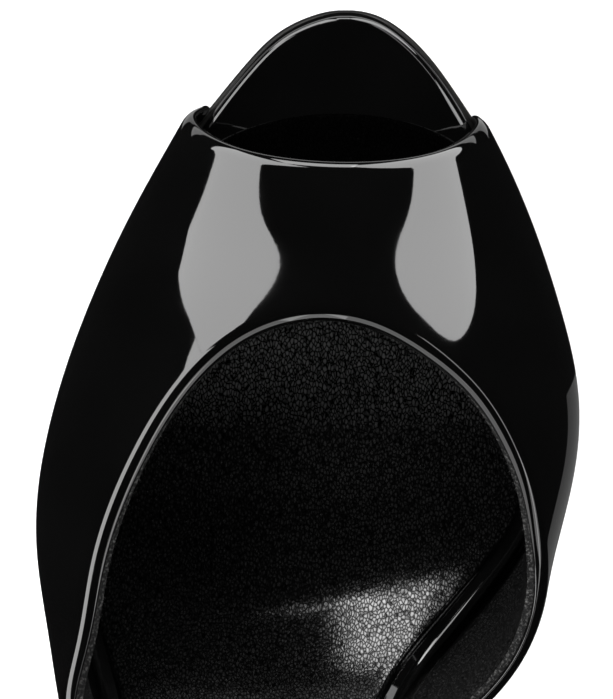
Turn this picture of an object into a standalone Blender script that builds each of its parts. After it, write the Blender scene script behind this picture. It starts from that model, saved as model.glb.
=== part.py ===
"""Left peep-toe mule on a slim high heel, empty and standing on its sole.

Sizes are in millimetres and meshes in metres. The toe points along +Y, the inner side of the foot
is +X and up is +Z. Places along the shoe are given as "behind": the distance behind the toe tip.
"""
from collections import namedtuple
from math import asin, cos, pi, radians, sin, sqrt, tan

import bmesh
import bpy
import numpy as np

MM = 0.001

# Driving dimensions. The tables further down hold the model size, which these grade.
LENGTH = 214.0           # toe tip to the back of the seat, along the floor
BALL_WIDTH = 92.4        # widest part of the upper
INSTEP = 42.0            # height of the throat
HEEL_HEIGHT = 90.0       # floor to the underside of the sole at the back of the seat

MODEL_LENGTH = 214.0
MODEL_BALL_WIDTH = 92.4
MODEL_INSTEP = 42.0
ALONG = LENGTH / MODEL_LENGTH
ACROSS = BALL_WIDTH / MODEL_BALL_WIDTH
UPWARD = INSTEP / MODEL_INSTEP

# Profile of the sole: an arc of toe spring, a flat tread, the break behind the ball, a straight
# shank, an arched waist and a straight seat
TOE_SPRING = 6.0
TREAD_FRONT = 58.0 * ALONG
TREAD_BACK = 75.0 * ALONG
BREAK_RADIUS = 60.0
SHANK_ANGLE = radians(51)
ARCH_RADIUS = 140.0
SEAT_ANGLE = radians(20)

# Layers, from the floor up
GAP = 0.3
OUTSOLE_THICK = 3.0
INSOLE_THICK = 4.0
SOCK_THICK = 1.0
INSOLE_LEVEL = OUTSOLE_THICK + GAP
SOCK_LEVEL = INSOLE_LEVEL + INSOLE_THICK + GAP
OUTSOLE_ROUND = 0.6
INSOLE_ROUND = 1.4
SOCK_ROUND = 0.35

# Upper
WALL = 2.2
WALL_CLEARANCE = 0.5     # between the insole's rim and the wall
GIRTH = 130.0            # round the outside of the upper, from feather edge to feather edge

# Sock
SOCK_INSET = 2.9
SOCK_FRONT = 16.5 * ALONG
SOCK_BACK = LENGTH - SOCK_INSET
SOCK_NOSE = 7.0          # length of its rounded front
SOCK_TAIL = 17.0         # length of its rounded back

# Heel
BREAST = 170.0 * ALONG
HEEL_INSET = 0.4
TIP_WIDTH = 11.0
TIP_LENGTH = 11.5
TIP_BEHIND = 189.0 * ALONG
TIP_TURN = 0.8 * pi      # from the middle of the tip's round back to its flat front
LIFT_THICK = 6.0
LIFT_ROUND = 0.5

# Fineness of the meshes
UPPER_LINES = 49         # lines that run from the toe opening to the topline
UPPER_STEPS = 26         # points along each line
SOLE_STATIONS = 58
SEAT_STATIONS = 15
HEEL_LEVELS = 18
CURVE_STEPS = 600
END_WIDTH = 0.012        # width left at a round end, as a share of the turn that spaces its stations
EDGE_STEP = 0.5          # half the step over which an edge's slant is measured
RIM_SEGMENTS = 2
RIM_ANGLE = radians(50)
SHARP_ANGLE = radians(35)

Finish = namedtuple("Finish", "name colour roughness")
SOLE_LEATHER = Finish("sole_leather", (0.012, 0.011, 0.011), 0.45)
INSOLE_PATENT = Finish("insole_patent", (0.008, 0.008, 0.009), 0.06)
SOCK_LEATHER = Finish("sock_leather", (0.011, 0.011, 0.012), 0.4)
UPPER_PATENT = Finish("upper_patent", (0.008, 0.008, 0.009), 0.05)
HEEL_PATENT = Finish("heel_patent", (0.008, 0.008, 0.009), 0.06)
LIFT_RUBBER = Finish("lift_rubber", (0.015, 0.015, 0.015), 0.6)

# Edge of the insole, seen from above: x of the outer side (lateral) and of the inner side (medial)
Edge = namedtuple("Edge", "behind lateral medial")
INSOLE_EDGE = [
    Edge(0.0, 6.6, 6.6),
    Edge(0.9, 1.6, 11.6),
    Edge(3.5, -3.9, 16.0),
    Edge(8.6, -9.4, 21.1),
    Edge(16.3, -15.5, 26.3),
    Edge(26.0, -22.0, 31.4),
    Edge(38.0, -28.6, 36.3),
    Edge(52.0, -34.2, 40.0),
    Edge(66.0, -38.2, 41.9),
    Edge(80.0, -40.6, 40.9),
    Edge(92.8, -40.8, 37.0),
    Edge(101.0, -39.7, 31.9),
    Edge(109.6, -37.9, 25.3),
    Edge(118.0, -35.5, 18.7),
    Edge(128.0, -32.6, 13.4),
    Edge(145.0, -28.8, 10.4),
    Edge(162.0, -27.4, 12.6),
    Edge(178.0, -28.2, 16.8),
    Edge(192.0, -28.0, 18.4),
    Edge(204.0, -23.6, 14.6),
    Edge(211.0, -15.2, 6.0),
    Edge(214.0, -4.8, -4.8),
]

# How far the outsole reaches beyond the insole: it widens to carry the wall of the upper
Beyond = namedtuple("Beyond", "behind reach")
OUTSOLE_BEYOND = [
    Beyond(0.0, 0.5),
    Beyond(8.6, 0.5),
    Beyond(16.3, 0.8),
    Beyond(26.0, 1.9),
    Beyond(38.0, 2.4),
    Beyond(70.0, 2.4),
    Beyond(110.0, 2.4),
    Beyond(124.0, 2.0),
    Beyond(138.0, 0.3),
    Beyond(152.0, -1.0),
    Beyond(170.0, -1.2),
]

# Sections of the upper's outside: where each side bulges furthest and how high, the crown of the
# instep, and how full the shoulder between them is (2 is a round shoulder, less is flatter)
Section = namedtuple(
    "Section", "behind lateral lateral_rise medial medial_rise crown crown_rise lateral_full medial_full")
UPPER_SECTIONS = [
    Section(12, -17.2, 8, 26.4, 8, 5.5, 18, 2.0, 2.0),
    Section(24, -23.6, 10, 32.5, 10, 5.0, 24, 2.0, 2.0),
    Section(38, -30.7, 12, 38.3, 12, 5.0, 31, 2.0, 2.0),
    Section(52, -36.9, 14, 42.9, 14, 5.0, 38.5, 1.95, 1.95),
    Section(66, -41.8, 15, 45.8, 16, 5.0, 44, 1.9, 1.9),
    Section(80, -44.8, 16, 44.9, 19, 4.0, 49, 1.8, 1.9),
    Section(94, -45.2, 14.5, 41.7, 21.5, 2.0, 53.5, 1.65, 1.9),
    Section(108, -43.2, 12.5, 39.0, 24.5, 0.0, 57.5, 1.5, 1.9),
    Section(122, -40.8, 11.7, 33.6, 24.7, -2.0, 61.7, 1.5, 1.9),
    Section(136, -36.8, 9.7, 22.5, 22.7, -3.0, 63.7, 1.5, 1.9),
    Section(150, -33.5, 8, 18.0, 21, -3.0, 64, 1.5, 1.9),
]
# Where the seven points of a section lie, as shares of the way round from the outer side
SECTION_SHARES = (0.0, 0.12, 0.27, 0.5, 0.73, 0.88, 1.0)

# Edges of the upper: how far behind the toe tip the toe opening and the topline lie, by the share
# of the way round from the outer edge of the sole over the crown to the inner edge
Cut = namedtuple("Cut", "share behind")
TOE_OPENING = [
    Cut(0.0, 16.4),
    Cut(0.12, 18.0),
    Cut(0.27, 22.2),
    Cut(0.5, 25.8),
    Cut(0.73, 23.2),
    Cut(0.88, 18.9),
    Cut(1.0, 17.2),
]
TOPLINE = [
    Cut(0.0, 134.0),
    Cut(0.06, 129.0),
    Cut(0.104, 124.0),
    Cut(0.168, 112.0),
    Cut(0.21, 98.5),
    Cut(0.2535, 82.0),
    Cut(0.288, 70.5),
    Cut(0.326, 62.0),
    Cut(0.38, 55.4),
    Cut(0.48, 51.6),
    Cut(0.56, 53.7),
    Cut(0.62, 57.8),
    Cut(0.686, 64.8),
    Cut(0.737, 73.5),
    Cut(0.812, 89.5),
    Cut(0.868, 102.0),
    Cut(0.906, 112.0),
    Cut(0.946, 122.0),
    Cut(1.0, 132.0),
]

# How much of the seat's outline is left on the way down the heel (0 is the seat, 1 is the tip)
Taper = namedtuple("Taper", "down left")
HEEL_TAPER = [
    Taper(0.0, 1.0),
    Taper(0.06, 0.92),
    Taper(0.15, 0.72),
    Taper(0.28, 0.42),
    Taper(0.42, 0.22),
    Taper(0.6, 0.09),
    Taper(0.8, 0.025),
    Taper(1.0, 0.0),
]


def spline(knots, values):
    """A smooth curve (natural cubic spline) through the values at the knots, as a function."""
    knots = np.asarray(knots, float)
    values = np.asarray(values, float)
    count = len(knots)
    steps = np.diff(knots)
    rows = np.eye(count)
    right = np.zeros_like(values)
    for i in range(1, count - 1):
        rows[i, i - 1:i + 2] = steps[i - 1], 2 * (steps[i - 1] + steps[i]), steps[i]
        slope_after = (values[i + 1] - values[i]) / steps[i]
        slope_before = (values[i] - values[i - 1]) / steps[i - 1]
        right[i] = 6 * (slope_after - slope_before)
    bends = np.linalg.solve(rows, right)

    def value(at):
        i = int(np.clip(np.searchsorted(knots, at) - 1, 0, count - 2))
        step = steps[i]
        to_next = knots[i + 1] - at
        past = at - knots[i]
        cubic = (bends[i] * to_next ** 3 + bends[i + 1] * past ** 3) / (6 * step)
        first = (values[i] / step - bends[i] * step / 6) * to_next
        second = (values[i + 1] / step - bends[i + 1] * step / 6) * past
        return cubic + first + second

    return value


def column(table, name):
    return np.array([getattr(row, name) for row in table], float)


# Profile of the sole, worked out from the heel height
BREAK_END = TREAD_BACK + BREAK_RADIUS * sin(SHANK_ANGLE)
BREAK_RISE = BREAK_RADIUS * (1 - cos(SHANK_ANGLE))
ARCH_RUN = ARCH_RADIUS * (sin(SHANK_ANGLE) - sin(SEAT_ANGLE))
ARCH_RISE = ARCH_RADIUS * (cos(SEAT_ANGLE) - cos(SHANK_ANGLE))
RISE_LEFT = HEEL_HEIGHT - BREAK_RISE - ARCH_RISE - (LENGTH - BREAK_END - ARCH_RUN) * tan(SEAT_ANGLE)
SHANK = RISE_LEFT / (sin(SHANK_ANGLE) - cos(SHANK_ANGLE) * tan(SEAT_ANGLE))
SHANK_END = BREAK_END + SHANK * cos(SHANK_ANGLE)
SHANK_RISE = BREAK_RISE + SHANK * sin(SHANK_ANGLE)
ARCH_END = SHANK_END + ARCH_RUN
TOE_RADIUS = (TREAD_FRONT ** 2 + TOE_SPRING ** 2) / (2 * TOE_SPRING)


def profile(behind):
    """Height of the sole's underside, and its slope, at a place along the shoe."""
    if behind < TREAD_FRONT:
        ahead = TREAD_FRONT - behind
        return TOE_RADIUS - sqrt(TOE_RADIUS ** 2 - ahead ** 2), -asin(ahead / TOE_RADIUS)
    if behind < TREAD_BACK:
        return 0.0, 0.0
    if behind < BREAK_END:
        past = behind - TREAD_BACK
        return BREAK_RADIUS - sqrt(BREAK_RADIUS ** 2 - past ** 2), asin(past / BREAK_RADIUS)
    if behind < SHANK_END:
        return BREAK_RISE + (behind - BREAK_END) * tan(SHANK_ANGLE), SHANK_ANGLE
    if behind < ARCH_END:
        slope = asin(sin(SHANK_ANGLE) - (behind - SHANK_END) / ARCH_RADIUS)
        return SHANK_RISE + ARCH_RADIUS * (cos(slope) - cos(SHANK_ANGLE)), slope
    return SHANK_RISE + ARCH_RISE + (behind - ARCH_END) * tan(SEAT_ANGLE), SEAT_ANGLE


def on_sole(behind, level):
    """Place along the shoe and height of a point that lies a level above the sole's underside."""
    height, slope = profile(behind)
    return behind - level * sin(slope), height + level * cos(slope)


def round_ends(behind):
    """Shares of the outline that run evenly round the toe and the back of the seat."""
    return np.arccos(np.clip(1 - 2 * np.asarray(behind) / LENGTH, -1, 1)) / pi


EDGE_SHARES = round_ends(column(INSOLE_EDGE, "behind") * ALONG)
EDGE_CURVE = spline(
    EDGE_SHARES, ACROSS * np.stack([column(INSOLE_EDGE, side) for side in ("lateral", "medial")], axis=1))


def insole_edge(behind):
    """x of the insole's outer and inner edge."""
    return EDGE_CURVE(round_ends(behind))


OUTSOLE_REACH = spline(ALONG * column(OUTSOLE_BEYOND, "behind"), column(OUTSOLE_BEYOND, "reach"))


def outsole_edge(behind):
    lateral, medial = insole_edge(behind)
    reach = OUTSOLE_REACH(behind)
    return lateral - reach, medial + reach


def sock_edge(behind):
    """The insole's edge, set in, with a rounded nose under the toe opening and a rounded back."""
    before_tail = min(behind, SOCK_BACK - SOCK_TAIL)
    lateral, medial = insole_edge(before_tail)
    step = insole_edge(before_tail + EDGE_STEP) - insole_edge(before_tail - EDGE_STEP)
    slant = np.clip(step / (2 * EDGE_STEP), -1, 1)
    lateral += SOCK_INSET * sqrt(1 + slant[0] ** 2)
    medial -= SOCK_INSET * sqrt(1 + slant[1] ** 2)
    into_nose = max(0.0, 1 - (behind - SOCK_FRONT) / SOCK_NOSE)
    into_tail = max(0.0, 1 - (SOCK_BACK - behind) / SOCK_TAIL)
    narrow = sqrt(1 - max(into_nose, into_tail) ** 2)
    middle = (lateral + medial) / 2
    return middle + (lateral - middle) * narrow, middle + (medial - middle) * narrow


SECTION_NAMES = Section._fields[1:]
SECTION_CURVE = spline(
    ALONG * column(UPPER_SECTIONS, "behind"),
    np.stack([column(UPPER_SECTIONS, name) for name in SECTION_NAMES], axis=1))


def cut_curve(table):
    """A cut edge of the upper: how far behind the toe tip it lies, as a function of the share."""
    points = np.stack([GIRTH * column(table, "share"), ALONG * column(table, "behind")], axis=1)
    walked = np.append(0, np.cumsum(np.linalg.norm(np.diff(points, axis=0), axis=1)))
    curve = spline(walked, points)
    fine = np.array([curve(at) for at in np.linspace(0, walked[-1], CURVE_STEPS)])
    return lambda share: float(np.interp(GIRTH * share, fine[:, 0], fine[:, 1]))


TOE_OPENING_CURVE = cut_curve(TOE_OPENING)
TOPLINE_CURVE = cut_curve(TOPLINE)


def upper_section(behind):
    """Outside of the upper across one place, as a curve of x and height above the feather edge."""
    row = Section(behind, *SECTION_CURVE(behind))
    lateral_edge, medial_edge = insole_edge(behind)
    foot = WALL + WALL_CLEARANCE
    crown = np.array([row.crown * ACROSS, row.crown_rise * UPWARD])
    lateral = np.array([row.lateral * ACROSS, row.lateral_rise * UPWARD])
    medial = np.array([row.medial * ACROSS, row.medial_rise * UPWARD])

    def shoulder(bulge, full):
        reach = 2 ** (-1 / full)
        return np.array([crown[0] + (bulge[0] - crown[0]) * reach, bulge[1] + (crown[1] - bulge[1]) * reach])

    return spline(SECTION_SHARES, [
        (lateral_edge - foot, 0.0),
        lateral,
        shoulder(lateral, row.lateral_full),
        crown,
        shoulder(medial, row.medial_full),
        medial,
        (medial_edge + foot, 0.0),
    ])


def upper_point(share, behind):
    """A point on the outside of the upper: x, place along the shoe, height."""
    x, rise = upper_section(behind)(share)
    along, feather = on_sole(behind, INSOLE_LEVEL)
    return x, along, feather + rise


def even_shares(count):
    """Shares whose lines are evenly spaced along the toe opening and the topline together."""
    fine = np.linspace(0, 1, CURVE_STEPS)
    walked = np.zeros(len(fine))
    for cut in (TOE_OPENING_CURVE, TOPLINE_CURVE):
        rim = np.array([upper_point(share, cut(share)) for share in fine])
        walked[1:] += np.cumsum(np.linalg.norm(np.diff(rim, axis=0), axis=1))
    return np.interp(np.linspace(0, walked[-1], count), walked, fine)


def place(x, behind, height):
    return x * MM, -behind * MM, height * MM


def material(finish):
    made = bpy.data.materials.new(finish.name)
    made.use_nodes = True
    shader = made.node_tree.nodes["Principled BSDF"]
    shader.inputs["Base Color"].default_value = (*finish.colour, 1)
    shader.inputs["Roughness"].default_value = finish.roughness
    shader.inputs["Metallic"].default_value = 0.0
    return made


def add_part(name, mesh, finish):
    mesh.materials.append(material(finish))
    mesh.shade_smooth()
    mesh.set_sharp_from_angle(angle=SHARP_ANGLE)
    part = bpy.data.objects.new(name, mesh)
    parts.objects.link(part)
    part.parent = root
    return part


def grid_mesh(name, rows):
    """An open surface through rows of points."""
    form = bmesh.new()
    lines = [[form.verts.new(place(*point)) for point in row] for row in rows]
    for line, following in zip(lines, lines[1:]):
        for i in range(len(line) - 1):
            form.faces.new((line[i], line[i + 1], following[i + 1], following[i]))
    mesh = bpy.data.meshes.new(name)
    form.to_mesh(mesh)
    form.free()
    return mesh


def thicken(part, thickness, side):
    shell = part.modifiers.new("wall", "SOLIDIFY")
    shell.thickness = thickness * MM
    shell.offset = side
    shell.use_even_offset = True


def round_rim(part, width):
    rim = part.modifiers.new("rim", "BEVEL")
    rim.width = width * MM
    rim.segments = RIM_SEGMENTS
    rim.limit_method = "ANGLE"
    rim.angle_limit = RIM_ANGLE


def round_stations(front, back, count):
    """Places along a sheet, close together at its two round ends."""
    turns = np.linspace(END_WIDTH, 1 - END_WIDTH, count) * pi
    return front + (back - front) * (1 - np.cos(turns)) / 2


def breast_stations(back, count):
    """Places along a sheet with a round toe and a straight back."""
    turns = np.linspace(END_WIDTH, 1, count) * pi / 2
    return back * (1 - np.cos(turns))


def add_sole_layer(name, places, edge, level, thickness, rounding, finish):
    """A sheet that follows the sole's profile between its two edges."""
    rows = []
    for behind in places:
        along, height = on_sole(behind, level)
        lateral, medial = edge(behind)
        rows.append([(medial, along, height), (lateral, along, height)])
    layer = add_part(name, grid_mesh(name, rows), finish)
    thicken(layer, thickness, 1)
    round_rim(layer, rounding)


def add_upper(finish):
    rows = []
    for share in even_shares(UPPER_LINES):
        front = TOE_OPENING_CURVE(share)
        back = TOPLINE_CURVE(share)
        rows.append([upper_point(share, behind) for behind in np.linspace(front, back, UPPER_STEPS)])
    upper = add_part("upper", grid_mesh("upper", rows), finish)
    thicken(upper, WALL, -1)


def seat_ring(level):
    """Outline of the heel's seat at one level: down the outer side to the back and up the inner."""
    back = LENGTH - HEEL_INSET
    turns = np.linspace(0, 1 - END_WIDTH, SEAT_STATIONS) * pi / 2
    places = BREAST + (back - BREAST) * np.sin(turns)
    outer = []
    inner = []
    for behind in places:
        lateral, medial = insole_edge(behind)
        along, height = on_sole(behind, level)
        outer.append((lateral + HEEL_INSET, along, height))
        inner.append((medial - HEEL_INSET, along, height))
    return np.array(outer + inner[::-1])


def tip_ring(height):
    """Outline of the heel's tip: flat towards the toe and round at the back."""
    middle = insole_edge(TIP_BEHIND).mean()
    turns = np.linspace(-TIP_TURN, TIP_TURN, 2 * SEAT_STATIONS)
    ring = []
    for turn in turns:
        x = middle + sin(turn) * TIP_WIDTH / 2
        along = TIP_BEHIND + cos(turn) * TIP_LENGTH / 2
        ring.append((x, along, height))
    return np.array(ring)


def loft_mesh(name, rings):
    """A closed body through rings of points, whose two halves mirror each other in number."""
    form = bmesh.new()
    loops = [[form.verts.new(place(*point)) for point in ring] for ring in rings]
    count = len(loops[0])
    for upper_loop, lower_loop in zip(loops, loops[1:]):
        for i in range(count):
            j = (i + 1) % count
            form.faces.new((upper_loop[i], lower_loop[i], lower_loop[j], upper_loop[j]))
    for loop in (loops[0], loops[-1]):
        for i in range(count // 2 - 1):
            form.faces.new((loop[i], loop[i + 1], loop[count - 2 - i], loop[count - 1 - i]))
    bmesh.ops.recalc_face_normals(form, faces=form.faces)
    mesh = bpy.data.meshes.new(name)
    form.to_mesh(mesh)
    form.free()
    return mesh


def add_heel(finish):
    left = spline(column(HEEL_TAPER, "down"), column(HEEL_TAPER, "left"))
    seat = seat_ring(0.0)
    tip = tip_ring(LIFT_THICK + GAP)
    rings = [seat_ring(OUTSOLE_THICK)]
    for down in np.linspace(0, 1, HEEL_LEVELS):
        ring = tip + (seat - tip) * left(down)
        ring[:, 2] = seat[:, 2] + (tip[:, 2] - seat[:, 2]) * down
        rings.append(ring)
    add_part("heel", loft_mesh("heel", rings), finish)


def add_top_lift(finish):
    lift = add_part("top_lift", loft_mesh("top_lift", [tip_ring(LIFT_THICK), tip_ring(0.0)]), finish)
    round_rim(lift, LIFT_ROUND)


def stand_on_origin():
    """Move the whole shoe so that the middle of its box's floor is the origin."""
    bpy.context.view_layer.update()
    shapes = bpy.context.evaluated_depsgraph_get()
    corners = []
    for part in parts.objects:
        if part.type == "MESH":
            corners += [corner[:] for corner in part.evaluated_get(shapes).bound_box]
    low = np.min(corners, axis=0)
    high = np.max(corners, axis=0)
    root.location = (-(low[0] + high[0]) / 2, -(low[1] + high[1]) / 2, -low[2])
    bpy.context.view_layer.update()


for old in list(bpy.data.objects):
    bpy.data.objects.remove(old)
parts = bpy.data.collections.new("mule")
bpy.context.scene.collection.children.link(parts)
root = bpy.data.objects.new("mule_frame", None)
parts.objects.link(root)

add_sole_layer(
    "outsole", breast_stations(BREAST - GAP, SOLE_STATIONS), outsole_edge,
    0.0, OUTSOLE_THICK, OUTSOLE_ROUND, SOLE_LEATHER)
add_sole_layer(
    "insole", round_stations(0, LENGTH, SOLE_STATIONS), insole_edge,
    INSOLE_LEVEL, INSOLE_THICK, INSOLE_ROUND, INSOLE_PATENT)
add_sole_layer(
    "sock", round_stations(SOCK_FRONT, SOCK_BACK, SOLE_STATIONS), sock_edge,
    SOCK_LEVEL, SOCK_THICK, SOCK_ROUND, SOCK_LEATHER)
add_upper(UPPER_PATENT)
add_heel(HEEL_PATENT)
add_top_lift(LIFT_RUBBER)
stand_on_origin()
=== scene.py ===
"""Looks of a left peep-toe mule: patent vamp with rolled edges and a raw lining edge, patent-wrapped
insole with a grained sock, black leather sole, covered heel and rubber top lift.

Sizes are in millimetres and meshes in metres. Places along the shoe are given as "behind": the
distance behind the toe tip. Points are x (inner side of the foot), y (towards the toe) and z (up).
"""
from collections import namedtuple
from math import cos, pi, radians, sin, tan

import bmesh
import bpy
import numpy as np
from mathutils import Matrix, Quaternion, Vector


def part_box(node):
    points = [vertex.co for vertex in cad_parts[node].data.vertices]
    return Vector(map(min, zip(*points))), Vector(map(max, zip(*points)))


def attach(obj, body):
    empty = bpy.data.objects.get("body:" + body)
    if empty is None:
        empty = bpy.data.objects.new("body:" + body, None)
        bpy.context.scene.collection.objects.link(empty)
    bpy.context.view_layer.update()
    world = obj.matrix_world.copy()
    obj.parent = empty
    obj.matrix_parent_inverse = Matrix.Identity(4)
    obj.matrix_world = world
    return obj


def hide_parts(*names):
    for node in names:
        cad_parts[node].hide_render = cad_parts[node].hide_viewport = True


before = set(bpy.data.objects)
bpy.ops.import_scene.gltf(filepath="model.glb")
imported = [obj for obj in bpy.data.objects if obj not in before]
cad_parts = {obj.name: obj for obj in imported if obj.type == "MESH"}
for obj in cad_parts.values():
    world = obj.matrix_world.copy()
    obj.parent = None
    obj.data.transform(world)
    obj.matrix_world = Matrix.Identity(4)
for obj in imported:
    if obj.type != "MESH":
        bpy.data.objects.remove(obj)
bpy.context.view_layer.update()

MM = 0.001

# Profile of the sole, as the solids have it
LENGTH = 214.0
HEEL_HEIGHT = 90.0
TOE_SPRING = 6.0
TREAD_FRONT = 58.0
TREAD_BACK = 75.0
BREAK_RADIUS = 60.0
SHANK_ANGLE = radians(51)
ARCH_RADIUS = 140.0
SEAT_ANGLE = radians(20)

# Layers, from the floor up
OUTSOLE_THICK = 3.0
INSOLE_LEVEL = 3.3
INSOLE_TOP = 7.3
SOCK_TOP = 8.5
SOCK_CROWN = 0.25
INSOLE_RIM = 1.5
INSOLE_RIM_WIDTH = 1.3
SOCK_RIM = 0.7
OUTSOLE_RIM = 0.7
OUTSOLE_TOP_RIM = 0.5
DISH = 0.0026            # hollow of the waist: rise per square of the way from its lowest line (1/mm)
DISH_DEPTH = 2.5
DISH_ASIDE = 5.0         # how far that line lies to the outer side of the middle
DISH_PLACES = (80.0, 106.0, 150.0, 175.0)  # where the hollow starts, is full, eases off and ends
SKIVE = 1.15             # how much thinner the front of the sock is
SKIVE_LENGTH = 25.0
CROWN_POWER = 0.7        # the lower, the flatter the middle of a crowned face
CROWN_WIDTH = 20.0       # narrower places have a lower crown
END_TURN = 0.008         # share of a half turn that a layer's rounded ends leave out
GROOVE = [(3.4, 0.0), (3.15, 0.25), (2.9, 0.0)]  # round the sole's underside: inset and level

# Upper
WALL = 2.2
WALL_CLEARANCE = 0.5
GIRTH = 130.0
LINING = 1.3
SHEET = WALL - LINING    # thickness of the patent sheet away from its edges
LINING_GAP = 0.03        # between that sheet and the lining
TOP_BEYOND = 1.1         # how far the rolled topline stands out over the solid's edge
LINING_FRONT = 9.0       # from the toe edge to the front of the lining
LINING_DROP = 1.3        # from the trimmed edge of the patent to the raw edge of the lining
PADDED = 9.0             # width of the padded band along the topline
SETTLE = 0.4             # how far the wall reaches down into the sole's edge
UPPER_LINES = 181
UPPER_STEPS = 97
ROLL_STEPS = 24
ROLL_PARTS = 40          # parts that each step of a rolled edge is summed up from

# Loose fibres along the raw edge of the lining
FIBRES = 1800
FIBRE_SEED = 7
FIBRE_LENGTHS = (0.2, 0.75)
FIBRE_RADII = (0.03, 0.022)  # at the foot and at the bend
FIBRE_SUNK = 0.1
FIBRE_BEND = 0.55        # share of the length up to the bend
FIBRE_INWARD = 0.8       # how far they lean to the inside of the shoe
FIBRE_LEAN = 0.45        # how much the lean varies
FIBRE_DROOP = 0.7        # how much the bend varies

# Sock
SOCK_INSET = 2.9
SOCK_FRONT = 16.5
SOCK_BACK = LENGTH - SOCK_INSET
SOCK_NOSE = 7.0
SOCK_TAIL = 17.0
SOCK_SUNK = 0.05         # into the insole's upper face

# Heel
BREAST = 170.0
BREAST_GAP = 0.1         # between the sole's end and the heel
HEEL_INSET = 0.4
SEAT_LEVEL = 1.5         # of the ring between the heel's top and the sole's underside
SEAT_TURN = 0.988        # share of a quarter turn that the seat's rounded back covers
HEEL_ROWS = 70
HEEL_STATIONS = 60
HEEL_RING = 200
HEEL_SOFTENING = 6
TIP_WIDTH = 11.0
TIP_LENGTH = 11.5
TIP_BEHIND = 189.0
TIP_TURN = 0.8 * pi
LIFT_THICK = 6.0
LIFT_GAP = 0.05          # between the lift and the heel
LIFT_BEVEL = 0.25
LIFT_RIM = 0.6
LIFT_STATIONS = 40
LIFT_RING = 120
LIFT_SOFTENING = 3

CURVE_STEPS = 900
EDGE_STEP = 0.5
SHARE_STEP = 0.0005
BEHIND_STEP = 0.05
FRONT_STEPS = 40         # along the flat front of the heel's rings
WELD_GAP = 0.002
CREASE = radians(50)     # edges that are sharper than this aren't smoothed

Edge = namedtuple("Edge", "behind lateral medial")
INSOLE_EDGE = [
    Edge(0.0, 6.6, 6.6),
    Edge(0.9, 1.6, 11.6),
    Edge(3.5, -3.9, 16.0),
    Edge(8.6, -9.4, 21.1),
    Edge(16.3, -15.5, 26.3),
    Edge(26.0, -22.0, 31.4),
    Edge(38.0, -28.6, 36.3),
    Edge(52.0, -34.2, 40.0),
    Edge(66.0, -38.2, 41.9),
    Edge(80.0, -40.6, 40.9),
    Edge(92.8, -40.8, 37.0),
    Edge(101.0, -39.7, 31.9),
    Edge(109.6, -37.9, 25.3),
    Edge(118.0, -35.5, 18.7),
    Edge(128.0, -32.6, 13.4),
    Edge(145.0, -28.8, 10.4),
    Edge(162.0, -27.4, 12.6),
    Edge(178.0, -28.2, 16.8),
    Edge(192.0, -28.0, 18.4),
    Edge(204.0, -23.6, 14.6),
    Edge(211.0, -15.2, 6.0),
    Edge(214.0, -4.8, -4.8),
]

Beyond = namedtuple("Beyond", "behind reach")
OUTSOLE_BEYOND = [
    Beyond(0.0, 0.5),
    Beyond(8.6, 0.5),
    Beyond(16.3, 0.8),
    Beyond(26.0, 1.9),
    Beyond(38.0, 2.4),
    Beyond(70.0, 2.4),
    Beyond(110.0, 2.4),
    Beyond(124.0, 2.0),
    Beyond(138.0, 0.3),
    Beyond(152.0, -1.0),
    Beyond(170.0, -1.2),
]

Section = namedtuple(
    "Section",
    "behind lateral lateral_rise medial medial_rise crown crown_rise lateral_full medial_full")
UPPER_SECTIONS = [
    Section(12, -17.2, 8, 26.4, 8, 5.5, 18, 2.0, 2.0),
    Section(24, -23.6, 10, 32.5, 10, 5.0, 24, 2.0, 2.0),
    Section(38, -30.7, 12, 38.3, 12, 5.0, 31, 2.0, 2.0),
    Section(52, -36.9, 14, 42.9, 14, 5.0, 38.5, 1.95, 1.95),
    Section(66, -41.8, 15, 45.8, 16, 5.0, 44, 1.9, 1.9),
    Section(80, -44.8, 16, 44.9, 19, 4.0, 49, 1.8, 1.9),
    Section(94, -45.2, 14.5, 41.7, 21.5, 2.0, 53.5, 1.65, 1.9),
    Section(108, -43.2, 12.5, 39.0, 24.5, 0.0, 57.5, 1.5, 1.9),
    Section(122, -40.8, 11.7, 33.6, 24.7, -2.0, 61.7, 1.5, 1.9),
    Section(136, -36.8, 9.7, 22.5, 22.7, -3.0, 63.7, 1.5, 1.9),
    Section(150, -33.5, 8, 18.0, 21, -3.0, 64, 1.5, 1.9),
]
SECTION_SHARES = (0.0, 0.12, 0.27, 0.5, 0.73, 0.88, 1.0)

Cut = namedtuple("Cut", "share behind")
TOE_OPENING = [
    Cut(0.0, 15.3),
    Cut(0.12, 17.5),
    Cut(0.27, 22.2),
    Cut(0.5, 25.8),
    Cut(0.73, 23.2),
    Cut(0.88, 18.9),
    Cut(1.0, 17.2),
]
TOPLINE = [
    Cut(0.0, 134.0),
    Cut(0.06, 129.0),
    Cut(0.104, 124.0),
    Cut(0.168, 112.0),
    Cut(0.21, 98.5),
    Cut(0.2535, 82.0),
    Cut(0.288, 70.5),
    Cut(0.326, 62.0),
    Cut(0.38, 55.4),
    Cut(0.48, 51.6),
    Cut(0.56, 53.7),
    Cut(0.62, 57.8),
    Cut(0.69, 64.8),
    Cut(0.744, 73.5),
    Cut(0.823, 89.5),
    Cut(0.88, 102.0),
    Cut(0.913, 113.5),
    Cut(0.948, 125.0),
    Cut(1.0, 135.5),
]

# Cross-section of an edge that is turned over: how far it has turned, and how tightly
Bend = namedtuple("Bend", "until radius")
TOPLINE_ROLL = [Bend(52, 2.1), Bend(70, 2.6), Bend(85, 1.0), Bend(180, 0.35)]
TOE_ROLL = [Bend(24, 4.2), Bend(70, 1.2), Bend(120, 0.6), Bend(180, 0.4)]

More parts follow.
